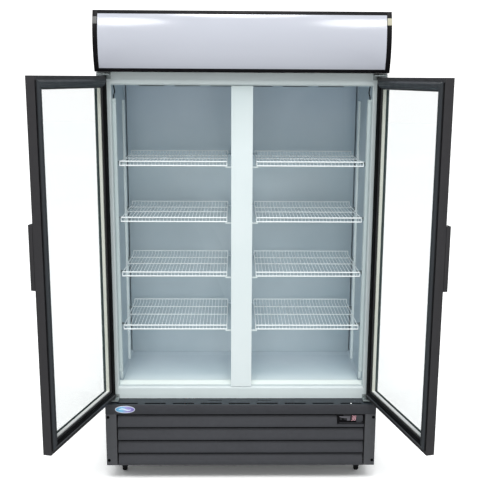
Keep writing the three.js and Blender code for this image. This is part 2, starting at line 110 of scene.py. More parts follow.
class Nodes:
    """Adds nodes to a material or a world, with their inputs linked or written."""

    def __init__(self, owner, shader):
        owner.use_nodes = True
        self.tree = owner.node_tree
        self.shader = self.tree.nodes[shader]

    def fill(self, node, inputs):
        """Links each output socket to the input of that name. Other values are constants."""
        for name, value in inputs.items():
            if isinstance(value, bpy.types.NodeSocket):
                self.tree.links.new(value, node.inputs[name])
            else:
                node.inputs[name].default_value = value

    def add(self, kind, inputs=None, **settings):
        node = self.tree.nodes.new(kind)
        for key, value in settings.items():
            setattr(node, key, value)
        self.fill(node, inputs or {})
        return node.outputs

    def noise(self, scale, detail=3.0, stretch=(1, 1, 1)):
        mapping = self.add("ShaderNodeMapping", {"Vector": self.place, "Scale": stretch})
        inputs = {"Vector": mapping["Vector"], "Scale": scale, "Detail": detail}
        return self.add("ShaderNodeTexNoise", inputs)["Fac"]

    def ramp(self, source, low, high, start=0.3, end=0.7):
        inputs = {
            "Value": source, "From Min": start, "From Max": end, "To Min": low, "To Max": high,
        }
        return self.add("ShaderNodeMapRange", inputs)["Result"]

    def mix(self, factor, first, second):
        inputs = {"Factor": factor, "A": first, "B": second}
        return self.add("ShaderNodeMix", inputs, data_type="RGBA")["Result"]


def new_material(name):
    M[name] = bpy.data.materials.new(name)
    n = Nodes(M[name], "Principled BSDF")
    n.place = n.add("ShaderNodeTexCoord")["Object"]
    return n


def surface(
    name, colour, rough, metal=0.0, tint=0.06, grain=900.0, depth=0.02, stretch=(1, 1, 1),
    coat=0.0, worn=0.0, patch=6.0, shine=0.5,
):
    """A solid finish: broad colour drift, uneven gloss, a fine grain and paler worn edges."""
    n = new_material(name)
    colour = srgb(*colour)
    drift = n.ramp(n.noise(patch, 4.0), 0.0, 1.0)
    base = n.mix(drift, shade(colour, 1 - tint), shade(colour, 1 + tint))
    if worn:
        edge = n.add("ShaderNodeNewGeometry")["Pointiness"]
        inputs = {0: n.ramp(edge, 0.0, worn, 0.52, 0.60), 1: n.ramp(n.noise(60.0, 5.0), 0.2, 1.0)}
        scuffs = n.add("ShaderNodeMath", inputs, operation="MULTIPLY")
        base = n.mix(scuffs[0], base, shade(colour, SCUFF_PALENESS))
    gloss = n.noise(patch * 5, 5.0, stretch)
    n.fill(n.shader, {
        "Base Color": base,
        "Roughness": n.ramp(gloss, rough - GLOSS_SPREAD, rough + GLOSS_SPREAD),
        "Metallic": metal, "Specular IOR Level": shine,
        "Coat Weight": coat, "Coat Roughness": 0.12,
    })
    if depth:
        height = n.noise(grain, 2.0, stretch)
        inputs = {"Height": height, "Strength": 0.25, "Distance": depth * MM * 10}
        n.fill(n.shader, {"Normal": n.add("ShaderNodeBump", inputs)["Normal"]})


def glowing(name, colour, glow, strength):
    n = new_material(name)
    colour = srgb(*colour)
    drift = n.ramp(n.noise(20.0), 0.0, 1.0)
    n.fill(n.shader, {
        "Base Color": n.mix(drift, shade(colour, 0.96), shade(colour, 1.02)),
        "Roughness": n.ramp(n.noise(200.0), 0.31, 0.39),
        "Emission Color": srgb(*glow), "Emission Strength": strength,
    })


def clear_glass(name):
    """A thin pane with faint smears. Most of what is behind it shows through."""
    n = new_material(name)
    smear = n.noise(9.0, 5.0, (1, 1, 0.35))
    tint = n.ramp(smear, 0.0, 1.0)
    n.fill(n.shader, {
        "Base Color": n.mix(tint, (0.16, 0.26, 0.25, 1), (0.20, 0.31, 0.30, 1)),
        "Roughness": n.ramp(smear, 0.02, 0.07),
        "Specular IOR Level": 1.0, "Alpha": 0.09,
        "Coat Weight": 1.0, "Coat Roughness": 0.02,
    })


def graded(name, stops, low, high, axis, rough, coat=0.0):
    """A finish whose colour runs through the stops along one axis, from low to high."""
    n = new_material(name)
    place = n.add("ShaderNodeSeparateXYZ", {"Vector": n.place})[axis]
    along = n.ramp(place, 0.0, 1.0, low * MM, high * MM)
    ramp = n.tree.nodes.new("ShaderNodeValToRGB")
    elements = ramp.color_ramp.elements
    while len(elements) < len(stops):
        elements.new(0.5)
    for element, (position, colour) in zip(elements, stops):
        element.position = position
        element.color = srgb(*colour)
    n.fill(ramp, {"Fac": along})
    drift = n.ramp(n.noise(3.0), 0.0, 0.12)
    n.fill(n.shader, {
        "Base Color": n.mix(drift, ramp.outputs["Color"], (1, 1, 1, 1)),
        "Roughness": n.ramp(n.noise(40.0), rough - 0.03, rough + 0.03),
        "Coat Weight": coat, "Coat Roughness": 0.05,
    })


POWDER_COAT = {"grain": 1600, "depth": 0.03, "worn": 0.15}
surface("black_paint", (38, 38, 41), 0.46, grain=1400, depth=0.03, worn=0.2, shine=0.35)
surface("panel_paint", (56, 57, 61), 0.5, shine=0.3, **POWDER_COAT)
surface("post_paint", (74, 75, 78), 0.5, shine=0.3, **POWDER_COAT)
surface("ledge_paint", (55, 61, 66), 0.42, shine=0.35, **POWDER_COAT)
surface("panel_shadow_paint", (12, 12, 14), 0.8, shine=0.1)
surface("door_frame_black", (45, 44, 46), 0.44, grain=1200, worn=0.15, shine=0.35)
surface("trim_black", (12, 11, 14), 0.42, grain=1500, depth=0.01, shine=0.12)
surface("key_cap", (34, 34, 38), 0.35, depth=0.01, shine=0.4)
surface("black_screw", (4, 4, 5), 0.7, shine=0.05)

# near-black rubber, also laid on the door gaskets as painted shade
surface("gasket_rubber_painted_shade", (7, 7, 9), 0.65, grain=2200, depth=0.03, shine=0.12)
surface("gasket_face", (42, 46, 50), 0.42, grain=2200, depth=0.03)
# a paler copy of the gasket face: a painted highlight on the bottom pocket
surface("gasket_painted_highlight", (72, 74, 77), 0.5, grain=2200, depth=0.03, shine=0.4)
surface("butyl_sealant", (34, 38, 38), 0.6, grain=500, depth=0.04, shine=0.1)
surface("spacer_bar", (232, 234, 222), 0.42, grain=1500, depth=0.01)
# a paler copy of the spacer bar: a painted highlight on its top and bottom runs
surface("spacer_bar_painted_highlight", (254, 254, 251), 0.42, grain=1500, depth=0.01)
surface("tyre_rubber", (22, 22, 24), 0.7, grain=1500, depth=0.05, shine=0.3)
surface("wheel_hub_plastic", (60, 61, 63), 0.5)

surface("insulating_foam", (232, 220, 170), 0.95, grain=600, depth=0.12, tint=0.1)
surface("liner_paint", (185, 198, 206), 0.45, grain=260, depth=0.04, tint=0.03)
surface("front_frame_plastic", (200, 210, 211), 0.4, grain=700, depth=0.01, tint=0.03)
surface("sill_cover_plastic", (240, 248, 244), 0.45, grain=700, depth=0.01, tint=0.02)
surface("white_coated_wire", (236, 242, 243), 0.32, grain=1200, tint=0.03)
surface("pilaster_paint", (236, 246, 246), 0.42, depth=0.01, tint=0.03)
surface("cream_clip", (176, 172, 150), 0.45, depth=0.01)
surface("grey_clip", (96, 96, 96), 0.5, depth=0.01)

surface(
    "satin_aluminium", (196, 204, 206), 0.36, 0.75, stretch=(1, 1, 0.03), grain=1800, depth=0.015,
)
surface("zinc_plate", (150, 158, 158), 0.42, 0.85, tint=0.1, patch=40)
surface("bright_steel", (225, 226, 228), 0.22, 0.9, tint=0.05, depth=0.01)
surface("copper_tube", (196, 120, 82), 0.3, 1.0, tint=0.15, grain=700)

surface("smoked_lens", (88, 86, 92), 0.2, depth=0.0, coat=0.8)
surface(
    "sign_sheet", (188, 191, 201), 0.2, grain=300, depth=0.004, tint=0.015, patch=2.0, coat=0.5,
)
surface("badge_rim", (206, 214, 230), 0.3, coat=0.4)
surface("badge_wave", (214, 232, 244), 0.3, coat=0.5)
glowing("light_cover", (180, 194, 195), (240, 248, 255), 0.02)
glowing("lamp_tube", (244, 246, 250), (240, 246, 255), 0.6)
glowing("red_digits", (236, 190, 200), (255, 178, 192), 0.35)
clear_glass("door_glass")

# The duct panel's colour is paler in its upper half than low down: painted light on the upper back wall.
graded("duct_paint", [
    (0.15, (171, 187, 195)), (0.54, (174, 190, 198)),
    (0.73, (194, 211, 219)), (0.93, (188, 204, 216)),
], 437, 1755, "Z", 0.5)
# The mullion's colour darkens towards the top: painted shade under the header.
graded("mullion_plastic", [
    (0.0, (227, 237, 238)), (0.45, (214, 225, 226)),
    (0.8, (211, 222, 223)), (1.0, (186, 199, 200)),
], 441, 1755, "Z", 0.4)
# The floor sheet runs from pale at the front to darker at the back: painted light.
graded("floor_pan_paint", [
    (0.0, (224, 236, 237)), (0.25, (197, 212, 218)),
    (0.6, (175, 190, 199)), (1.0, (167, 182, 192)),
], 60, 560, "Y", 0.42)


# ---------------- shape building


def along_x(a, b, d):
    return (d, a, b)


def along_y(a, b, d):
    return (a, d, b)


def along_z(a, b, d):
    return (a, b, d)


class Shape:
    """Gathers closed solids in millimetres and makes one object from them."""

    def __init__(self):
        self.verts, self.faces, self.slots = [], [], []

    def add(self, verts, faces, slot=0):
        """slot is a material's number, or several that the faces take in turn."""
        start = len(self.verts)
        self.verts += [tuple(v) for v in verts]
        self.faces += [tuple(start + i for i in face) for face in faces]
        around = slot if isinstance(slot, tuple) else (slot,)
        self.slots += [around[i % len(around)] for i in range(len(faces))]

    def loft(self, rings, slot=0, closed=False):
        """A skin over rings of points. Its ends are capped, or joined if it is closed."""
        n, count = len(rings[0]), len(rings)
        last = (count - 1) * n
        faces = [] if closed else [range(n), range(last, last + n)]
        for r in range(count if closed else count - 1):
            a, b = r * n, (r + 1) % count * n
            for i in range(n):
                j = (i + 1) % n
                faces.append((a + i, a + j, b + j, b + i))
        self.add([v for ring in rings for v in ring], faces, slot)

    def prism(self, outline, to_world, d0, d1, slot=0):
        """An outline of (a, b) points swept from d0 to d1. to_world turns (a, b, d) to x, y, z."""
        self.loft([[to_world(a, b, d) for a, b in outline] for d in (d0, d1)], slot)

    def box(self, x0, x1, y0, y1, z0, z1, chamfer=0.0, slot=0):
        (x0, x1), (y0, y1), (z0, z1) = map(sorted, ((x0, x1), (y0, y1), (z0, z1)))
        c = min(chamfer, (x1 - x0) / 2.5, (y1 - y0) / 2.5, (z1 - z0) / 2.5)
        if c <= 0:
            self.prism([(x0, y0), (x0, y1), (x1, y1), (x1, y0)], along_z, z0, z1, slot)
            return
        verts, index = [], {}
        for i, (x, dx) in enumerate(((x0, c), (x1, -c))):
            for j, (y, dy) in enumerate(((y0, c), (y1, -c))):
                for k, (z, dz) in enumerate(((z0, c), (z1, -c))):
                    index[i, j, k] = len(verts)
                    verts += [(x, y + dy, z + dz), (x + dx, y, z + dz), (x + dx, y + dy, z)]
        square = ((0, 0), (0, 1), (1, 1), (1, 0))
        faces = [[start, start + 1, start + 2] for start in index.values()]
        for end in (0, 1):
            faces.append([index[end, a, b] for a, b in square])
            faces.append([index[a, end, b] + 1 for a, b in square])
            faces.append([index[a, b, end] + 2 for a, b in square])
        for a, b in square:
            for p, q, u, v in (
                (index[0, a, b], index[1, a, b], 1, 2),
                (index[a, 0, b], index[a, 1, b], 0, 2),
                (index[a, b, 0], index[a, b, 1], 0, 1),
            ):
                faces.append([p + u, q + u, q + v, p + v])
        self.add(verts, faces, slot)

    def lathe(self, profile, sides, matrix, slot=0):
        """A profile of (radius, height) points turned about the matrix's Z axis."""
        verts, faces, rows = [], [], []
        for radius, height in profile:
            count = sides if radius else 1
            rows.append([len(verts) + i for i in range(count)])
            for i in range(count):
                turn = 2 * pi * i / sides
                point = Vector((radius * cos(turn), radius * sin(turn), height))
                verts.append(matrix @ point)
        for low, high in zip(rows, rows[1:]):
            n, m = len(low), len(high)
            for i in range(sides):
                j = (i + 1) % sides
                corners = (low[i % n], low[j % n], high[j % m], high[i % m])
                faces.append(tuple(dict.fromkeys(corners)))
        self.add(verts, faces, slot)

    def tube(self, points, radius, sides=8, slot=0):
        """A round bar along a line of points, with mitred bends and flat ends."""
        points = [Vector(p) for p in points]
        steps = [(b - a).normalized() for a, b in zip(points, points[1:])]
        across = steps[0].orthogonal().normalized()
        rings = []
        for point, before, after in zip(points, steps[:1] + steps, steps + steps[-1:]):
            along = (before + after).normalized()
            across = (across - along * across.dot(along)).normalized()
            other = along.cross(across)
            stretch = 1 / max(0.5, along.dot(after))
            bend = before.cross(after)
            ring = []
            for k in range(sides):
                turn = 2 * pi * k / sides
                spoke = across * cos(turn) + other * sin(turn)
                if bend.length > 1e-6:
                    outward = bend.normalized().cross(along)
                    spoke += outward * spoke.dot(outward) * (stretch - 1)
                ring.append(point + spoke * radius)
            rings.append(ring)
        self.loft(rings, slot)

    def frame(self, corners, profile, slot=0):
        """A profile swept round a rectangle with mitred corners.

        corners gives x0, x1, z0, z1. Each profile point is (left, right, bottom, top, y):
        how far it lies outside each edge, and its depth. slot is one number, or one each for
        the bottom, right, top and left.
        """
        x0, x1, z0, z1 = corners
        rings = [
            [
                (x0 - left, y, z0 - bottom), (x1 + right, y, z0 - bottom),
                (x1 + right, y, z1 + top), (x0 - left, y, z1 + top),
            ]
            for left, right, bottom, top, y in profile
        ]
        self.loft(rings, slot, closed=True)

    def plate(self, a_lines, b_lines, is_hole, to_world, d0, d1, slot=0):
        """A flat sheet on a grid of lines with some cells left open."""
        na, nb = len(a_lines), len(b_lines)
        verts = [to_world(a, b, d) for d in (d0, d1) for a in a_lines for b in b_lines]

        def solid(i, j):
            return 0 <= i < na - 1 and 0 <= j < nb - 1 and not is_hole(i, j)

        faces = []
        cells = [(i, j) for i in range(na - 1) for j in range(nb - 1) if solid(i, j)]
        for i, j in cells:
            corners = ((i, j), (i, j + 1), (i + 1, j + 1), (i + 1, j))
            beside = ((i - 1, j), (i, j + 1), (i + 1, j), (i, j - 1))
            near = [p * nb + q for p, q in corners]
            back = [p + na * nb for p in near]
            faces += [near, back]
            for k, cell in enumerate(beside):
                if not solid(*cell):
                    m = (k + 1) % 4
                    faces.append((near[k], back[k], back[m], near[m]))
        self.add(verts, faces, slot)

    def make(self, name, materials, slot=None, **settings):
        """Makes the object. The settings are those of finish_mesh."""
        bm = bmesh.new()
        made = [bm.verts.new(v) for v in self.verts]
        for face, material in zip(self.faces, self.slots):
            bm.faces.new([made[i] for i in face]).material_index = material
        loose = [v for v in bm.verts if not v.link_faces]
        bmesh.ops.delete(bm, geom=loose, context="VERTS")
        finish_mesh(bm, name, materials, slot, **settings)


def finish_mesh(
    bm, name, materials, slot, body=CABINET, bevel=0.0, angle=35, matrix=None, replaces=(),
    scale=MM,
):
    """Softens sharp edges, makes the object and puts it on its body. scale gives metres."""
    bmesh.ops.recalc_face_normals(bm, faces=bm.faces)
    if bevel:
        limit = radians(30)
        sharp = [e for e in bm.edges if len(e.link_faces) == 2 and e.calc_face_angle(0) > limit]
        bmesh.ops.bevel(
            bm, geom=sharp, offset=bevel * MM / scale, offset_type="OFFSET", segments=2,
            profile=0.6, affect="EDGES", clamp_overlap=True,
        )
    bmesh.ops.scale(bm, vec=(scale, scale, scale), verts=bm.verts)
    if matrix is not None:
        bmesh.ops.transform(bm, matrix=matrix, verts=bm.verts)
    mesh = bpy.data.meshes.new(name)
    bm.to_mesh(mesh)
    bm.free()
    for polygon in mesh.polygons:
        polygon.use_smooth = True
    mesh.set_sharp_from_angle(angle=radians(angle))
    for key in [materials] if isinstance(materials, str) else materials:
        mesh.materials.append(M[key])
    obj = add_object(name, mesh)
    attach(obj, body)
    if replaces:
        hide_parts(*replaces)


BODY_OF = {n: b for b, members in frame["record"]["behaviour"]["bodies"].items() for n in members}


def refined(node, material, bevel, slot):
    """The CAD node's own shape with its edges softened."""
    bm = bmesh.new()
    bm.from_mesh(cad_mesh(node))
    bmesh.ops.remove_doubles(bm, verts=bm.verts, dist=2e-6)
    bmesh.ops.dissolve_limit(bm, angle_limit=radians(0.5), verts=bm.verts, edges=bm.edges)
    finish_mesh(
        bm, f"{node}_shell", material, slot, BODY_OF[node], bevel, replaces=(node,), scale=1.0,
    )


def repaint(node, material):
    mesh = cad_mesh(node)
    mesh.materials.clear()
    mesh.materials.append(M[material])


def shifted(points, a, b):
    return [(a + p, b + q) for p, q in points]


def arc(cx, cy, radius, start, end, steps):
    turns = [radians(start + (end - start) * i / steps) for i in range(steps + 1)]
    return [(cx + radius * cos(t), cy + radius * sin(t)) for t in turns]


def rounded_rectangle(a0, a1, b0, b1, radius, steps=4):
    a0, a1, b0, b1 = a0 + radius, a1 - radius, b0 + radius, b1 - radius
    centres = ((a1, b1), (a0, b1), (a0, b0), (a1, b0))
    return [
        point for i, centre in enumerate(centres)
        for point in arc(*centre, radius, 90 * i, 90 * i + 90, steps)
    ]


def eased(points, radius, steps=4):
    """The same line of points with its corners rounded."""
    points = [Vector(p) for p in points]
    line = [points[0]]
    for before, corner, after in zip(points, points[1:], points[2:]):
        a = corner + (before - corner).normalized() * radius
        b = corner + (after - corner).normalized() * radius
        for i in range(steps + 1):
            t = i / steps
            line.append(a * (1 - t) ** 2 + corner * 2 * t * (1 - t) + b * t * t)
    line.append(points[-1])
    return line


def facing(origin, direction):
    """A matrix at origin whose Z axis points in direction."""
    z = Vector(direction).normalized()
    x = z.orthogonal().normalized()
    m = Matrix((x, z.cross(x), z)).transposed().to_4x4()
    m.translation = Vector(origin)
    return m


def screw(shape, place, direction, radius, height, slot=0, socket=1):
    """A domed screw head with a cross recess."""
    m = facing(place, direction)
    dome = [
        (0, 0), (radius, 0), (radius, height * 0.25), (radius * 0.85, height * 0.7),
        (radius * 0.5, height), (0, height),
    ]
    shape.lathe(dome, 16, m, slot)
    if socket is None:
        return
    reach, half = radius * 0.5, radius * 0.1
    for a, b in ((reach, half), (half, reach)):
        corners = ((-a, -b), (a, -b), (a, b), (-a, b))
        heights = (height * 0.8, height * 1.03)
        shape.loft([[m @ Vector((x, y, z)) for x, y in corners] for z in heights], socket)


# ---------------- insulated cabinet

frame_box = cad("front_frame")
liner_box = cad("inner_liner")
duct_box = cad("duct_panel")
mullion_box = cad("centre_mullion")

for label, _ in SIDES:
    refined(f"side_panel_{label}", "black_paint", 0.5, "black_steel")
refined("top_panel", "black_paint", 0.4, "black_steel")
refined("back_panel", "black_paint", 0.35, "black_steel")
# the mullion's colour holds painted shade, darker towards the top
refined("centre_mullion", "mullion_plastic", 1.6, "white_plastic")
# the duct panel carries painted light, paler in its upper half
refined("duct_panel", "duct_paint", 0.4, "liner")
repaint("foam_insulation", "insulating_foam")
repaint("inner_liner", "liner_paint")

# the mullion fills the front frame's opening from sill to head
SILL = mullion_box.z0 - 0.3
HEAD = mullion_box.z1 + 0.3


def opening_half():
    verts = cad_mesh("front_frame").vertices
    return min(abs(v.co.x) for v in verts if SILL - 1 < v.co.z / MM < HEAD + 1) / MM


OPEN_HALF = opening_half()


def front_frame():
    """A moulded surround: a rounded nose at the opening, a flat land, a step and a sloping rim."""
    outer = (
        -OPEN_HALF - frame_box.x0, frame_box.x1 - OPEN_HALF,
        SILL - frame_box.z0, frame_box.z1 - HEAD,
    )
    land = (14.0, 14.0, 45.0, 21.0)
    depth = frame_box.y1
    nose, relief = 12.0, 8.0

    def at(distance, y):
        side = relief + distance * (nose - relief) / nose
        return (side, side, distance, distance, y)

    profile = [at(0, depth), *(at(*point) for point in arc(nose, nose, nose, 180, 270, 6))]
    profile += [
        (*land, 0.0),
        (*(w + 0.4 for w in land), 2.2),
        (*(w - 0.8 for w in outer), 0.3),
        (*outer, 1.0),
        (*outer, depth),
    ]
    shape = Shape()
    shape.frame((-OPEN_HALF, OPEN_HALF, SILL, HEAD), profile)
    shape.make(
        "front_surround", "front_frame_plastic", "frame_grey", angle=28, replaces=("front_frame",),
    )


def liner_coves():
    """Fillets where the liner's walls meet, a floor sheet carrying painted light, and the ramp up to the sill."""
    half, floor, ceiling = liner_box.x1 - 1, liner_box.z0 + 1, liner_box.z1 - 1
    front, duct = liner_box.y0, duct_box.y0
    radius = 14.0
    curve = [(0, 0), *arc(radius, radius, radius, 270, 180, 6)]
    shape = Shape()
    for side in (-1, 1):
        for z, up in ((floor, 1), (ceiling, -1)):
            shape.prism(
                curve, lambda a, b, d: (side * (half - 0.2 - a), d, z + up * (b + 0.2)),
                front, duct_box.y1 - 3,
            )
        # a filler strip between the duct cover and the side wall
        strip = (side * (duct_box.x1 - 0.4), side * (half - 0.2))
        shape.box(*strip, duct + 2.0, duct + 3.5, floor + 4, ceiling - 4)
    shape.make("liner_coves", "liner_paint", "liner", angle=50)
    # a thin sheet on the floor carries painted light, paler towards the front
    pan = Shape()
    pan.box(radius - half, half - radius, front + 40, duct - 1, floor + 0.3, floor + 1.1, 0.2)
    pan.make("liner_floor_painted_light_sheet", "floor_pan_paint", "liner")
    crest = [(0, 0), (8, 1.0), (30, 6.7), (37, 7.4), (43, 5.7)]
    ramp = [(front, floor + 0.2), *shifted(crest, front, SILL), (front + 56, floor + 0.2)]
    cover = Shape()
    cover.prism(ramp, along_x, -half + 0.5, half - 0.5)
    cover.make("sill_cover", "sill_cover_plastic", "frame_grey", angle=50)


def wall_fixings():
    """Screws that hold the roof sheet, and the power inlet set into the back sheet."""
    shape = Shape()
    for x in (-560, 560):
        for y in (120, 360, 600):
            screw(shape, (x, y, cad("top_panel").z1 - 0.3), (0, 0, 1), 5, 1.6)
    shape.make("roof_screws", ["zinc_plate", "black_screw"], "zinc")
    inlet = Shape()
    x, z, back = -525, 230, cad("back_panel").y1

    def to_world(a, b, d):
        return (x + a, back - d, z + b)

    outer = rounded_rectangle(-25.6, 25.6, -16.6, 16.6, 3)
    inner = rounded_rectangle(-13, 13, -9, 9, 3)
    rings = ((outer, 0.4), (inner, 0.4), (inner, 16.0), (outer, 16.0))
    inlet.loft([[to_world(a, b, d) for a, b in ring] for ring, d in rings], closed=True)
    inlet.prism(inner, to_world, 14.0, 15.9)
    for a in (-7, 0, 7):
        inlet.box(x + a - 0.9, x + a + 0.9, back - 14.1, back - 4, z - 3, z + 3, 0.3, 1)
    for a in (-19, 19):
        screw(inlet, to_world(a, 0, 0.5), (0, 1, 0), 3, 0.4, 1, None)
    inlet.make("power_inlet", ["trim_black", "bright_steel"], "trim_black")


front_frame()
liner_coves()
wall_fixings()


# ---------------- shelves, pilasters and lights

SHELF_NAMES = [f"shelf_{label}_{i}" for label, _ in SIDES for i in range(1, 5)]
STOP_RISE = 14.0
RODS = 30


def deck_height(node):
    return cad(node).z1 - STOP_RISE


def wire_shelf(node):
    """Rods welded across rails. Each rod turns down at the front and up at the back."""
    b = cad(node)
    deck = deck_height(node)
    thin, thick, lip = 1.15, 2.1, 2.9
    low, front, back, top = b.z0 + lip, b.y0 + lip, b.y1 - thick, b.z1 - thick
    shape = Shape()

    def rail(y, z, radius, inset, sides):
        shape.tube([(b.x0 + inset, y, z), (b.x1 - inset, y, z)], radius, sides)

    def bent(x, y0, y1, start, z, corner, radius, steps, sides):
        line = [(x, y0, start), (x, y0, z), (x, y1, z), (x, y1, top)]
        shape.tube(eased(line, corner, steps), radius, sides)

    for z in (deck + 0.4, low):
        rail(front, z, lip, 1, 10)
    for y in (b.mid_y - 10, b.y0 + 0.8 * (b.y1 - b.y0)):
        rail(y, deck - 2 * thin - thick, thick, 2, 8)
    rail(back, top, thick, 1, 10)
    for x in (b.x0 + thick, b.x1 - thick):
        bent(x, front, back, low, deck - thick - 1.4, 5, thick, 4, 8)
    for i in range(1, RODS):
        x = b.x0 + (b.x1 - b.x0) * i / RODS
        y0, y1 = front + lip - 0.4, back - thick + 0.6
        bent(x, y0, y1, low - 0.8, deck - thin, 3.5, thin, 3, 6)
    shape.make(f"{node}_wires", "white_coated_wire", "white_wire", angle=60, replaces=(node,))


def pilaster(node, side):
    """A channel with a row of slots, and a hooked clip below each shelf."""
    b = cad(node)
    wall = b.far(side)
    face = wall - side * 10.0
    slot_pitch, slot_height, slot_half = 24.2, 11.0, 2.2
    sheet, hook_drop, hook_half = 1.3, 5.4, 6.5
    z_lines = [b.z0]
    z = b.z0 + 14
    while z + slot_height < b.z1 - 8:
        z_lines += [z, z + slot_height]
        z += slot_pitch
    z_lines.append(b.z1)
    y_lines = [b.y0, b.mid_y - slot_half, b.mid_y + slot_half, b.y1]
    shape = Shape()
    shape.plate(
        y_lines, z_lines, lambda i, j: i == 1 and j % 2 == 1,
        lambda a, c, d: (face + side * d, a, c), 0.0, sheet,
    )
    for y in (b.y0, b.y1 - sheet):
        shape.box(face + side * 1.0, wall, y, y + sheet, b.z0, b.z1, 0.3)
    shape.box(wall - side * 0.8, wall, b.y0 + sheet, b.y1 - sheet, b.z0, b.z1, slot=1)
    hook = [
        (0, 0), (0, -16), (2.4, -16), (4.5, -6.5), (21, -5), (24, -5),
        (24, 0), (22.5, 0), (21.5, -1.6), (9, -1.6), (6, 0),
    ]
    for level in sorted({round(deck_height(n), 1) for n in SHELF_NAMES}):
        shape.prism(
            hook, lambda a, c, d: (face - side * a, d, level - hook_drop + c),
            b.mid_y - hook_half, b.mid_y + hook_half, 2,
        )
    shape.make(
        f"{node}_channel", ["pilaster_paint", "panel_shadow_paint", "zinc_plate"],
        "bare_aluminium", replaces=(node,),
    )


def light_bar(node, side):
    """A frosted cover in an aluminium back, capped at both ends, with a hooked lead on top."""
    b = cad(node)
    wall, inner = b.far(side), b.near(side)
    cap = 14
    cover = rounded_rectangle(0, abs(wall - inner) - 2.5, b.y0 + 1, b.y1 - 1, 3.5, 4)
    shape = Shape()
    shape.prism(cover, lambda a, c, d: (inner + side * a, c, d), b.z0 + cap, b.z1 - cap)
    shape.box(wall - side * 2.4, wall, b.y0, b.y1, b.z0 + 13, b.z1 - 13, 0.4, 1)
    for z in (b.z0, b.z1 - cap):
        shape.box(inner, wall, b.y0, b.y1, z, z + cap, 1.2)
    shape.make(
        f"{node}_fitting", ["light_cover", "satin_aluminium"], "light_cover", replaces=(node,),
    )
    lead = Shape()
    x, y, z = inner + side * 9, b.y0 + 6, b.z1
    path = [
        (x, y, z - 4), (x, y, z + 14), (x - side * 5, y + 3, z + 26),
        (x - side * 1, y + 6, z + 48), (x, y + 3, liner_box.z1 - 1.4),
    ]
    lead.tube(eased(path, 8, 5), 2.6, 8)
    lead.make(f"{node}_lead", "trim_black", "trim_black", angle=60)


for shelf_name in SHELF_NAMES:
    wire_shelf(shelf_name)
for label, side in SIDES:
    pilaster(f"pilaster_{label}_front", side)
    pilaster(f"pilaster_{label}_rear", side)
for label, side in SIDES:
    light_bar(f"light_bar_{label}", side)


# ---------------- header

cap_box = cad("header_cap_right")
CLIP_HEIGHTS = (1996, 2003, 2010, 2017, 2024)
CAP_SCREWS = ((-30, 1835), (-30, 2022), (48, 1835), (48, 2022))

refined("header_housing", "trim_black", 0.8, "trim_black")
refined("header_sign", "sign_sheet", 0.3, "sign")
for label, side in SIDES:
    refined(f"header_cap_{label}", "trim_black", 1.0, "trim_black")


def header_front(z):
    """The y of the bulging front at a height, from the end cap's shape."""
    verts = cad_mesh("header_cap_right").vertices
    corner = min(v.co.y for v in verts if v.co.z / MM < cap_box.z0 + 0.5) / MM
    chord, bulge = (cap_box.z1 - cap_box.z0) / 2, corner - cap_box.y0
    radius = (chord ** 2 + bulge ** 2) / (2 * bulge)
    return cap_box.y0 + radius - sqrt(radius ** 2 - (z - cap_box.mid_z) ** 2)


def header_clips():
    """A small spring clip wraps each end cap near its top and holds the sheet."""
    shape, fixings = Shape(), Shape()
    front = [(header_front(z), z) for z in CLIP_HEIGHTS]
    outline = shifted(front, -0.25, 0) + shifted(reversed(front), 1.6, 0)
    for side in (-1, 1):
        ends = side * cap_box.x1, side * (cap_box.x0 + 1.5)
        shape.prism(outline, along_x, min(ends), max(ends), 0 if side < 0 else 1)
        for y, z in CAP_SCREWS:
            screw(fixings, (side * (cap_box.x1 - 1.2), y, z), (side, 0, 0), 4.2, 1.2)
    shape.make("header_sign_clips", ["grey_clip", "cream_clip"], "bare_aluminium", bevel=0.2)
    fixings.make("header_cap_screws", ["black_screw", "trim_black"], "trim_black")


def header_lamp():
    b = cad("header_lamp")
    radius, length = (b.z1 - b.z0) / 2, b.x1 - b.x0
    neck, glass, cap = radius * 0.7, radius * 0.9, 24
    m = facing((b.x0, b.mid_y, b.mid_z), (1, 0, 0))
    shape = Shape()
    shape.lathe([(0, 22), (glass, 22), (glass, length - 22), (0, length - 22)], 20, m)
    for start, end in ((0, cap), (length - cap, length)):
        holder = [
            (0, start), (neck, start), (radius, start + 4),
            (radius, end - 4), (neck, end), (0, end),
        ]
        shape.lathe(holder, 20, m, 1)
    shape.make(
        "header_lamp_tube", ["lamp_tube", "satin_aluminium"], "light_cover",
        replaces=("header_lamp",),
    )


header_clips()
header_lamp()


# ---------------- front panel

grille_box = cad("front_grille")
control_box = cad("control_housing")

POST = 48.0
FASCIA_BOTTOM = control_box.z1 - 1.1
FASCIA_TOP = grille_box.z1 - 12.2
SLAT_COUNT, SLAT_PITCH = 4, 61.0
LEDGE_SLOTS, LEDGE_PITCH, LEDGE_SHIFT = range(-4, 5), 124.0, 8
PLUG_HEIGHTS = (313, 108)
SEGMENTS = {"3": "abgcd", "8": "abcdefg"}


def ledge_point(a, b, d):
    """a along the ledge, b across it from the front edge, d down into it."""
    run, rise = grille_box.y1 - grille_box.y0, grille_box.z1 - FASCIA_TOP
    length = hypot(run, rise)
    c, s = run / length, rise / length
    return (a, grille_box.y0 + b * c + d * s, FASCIA_TOP + b * s - d * c)


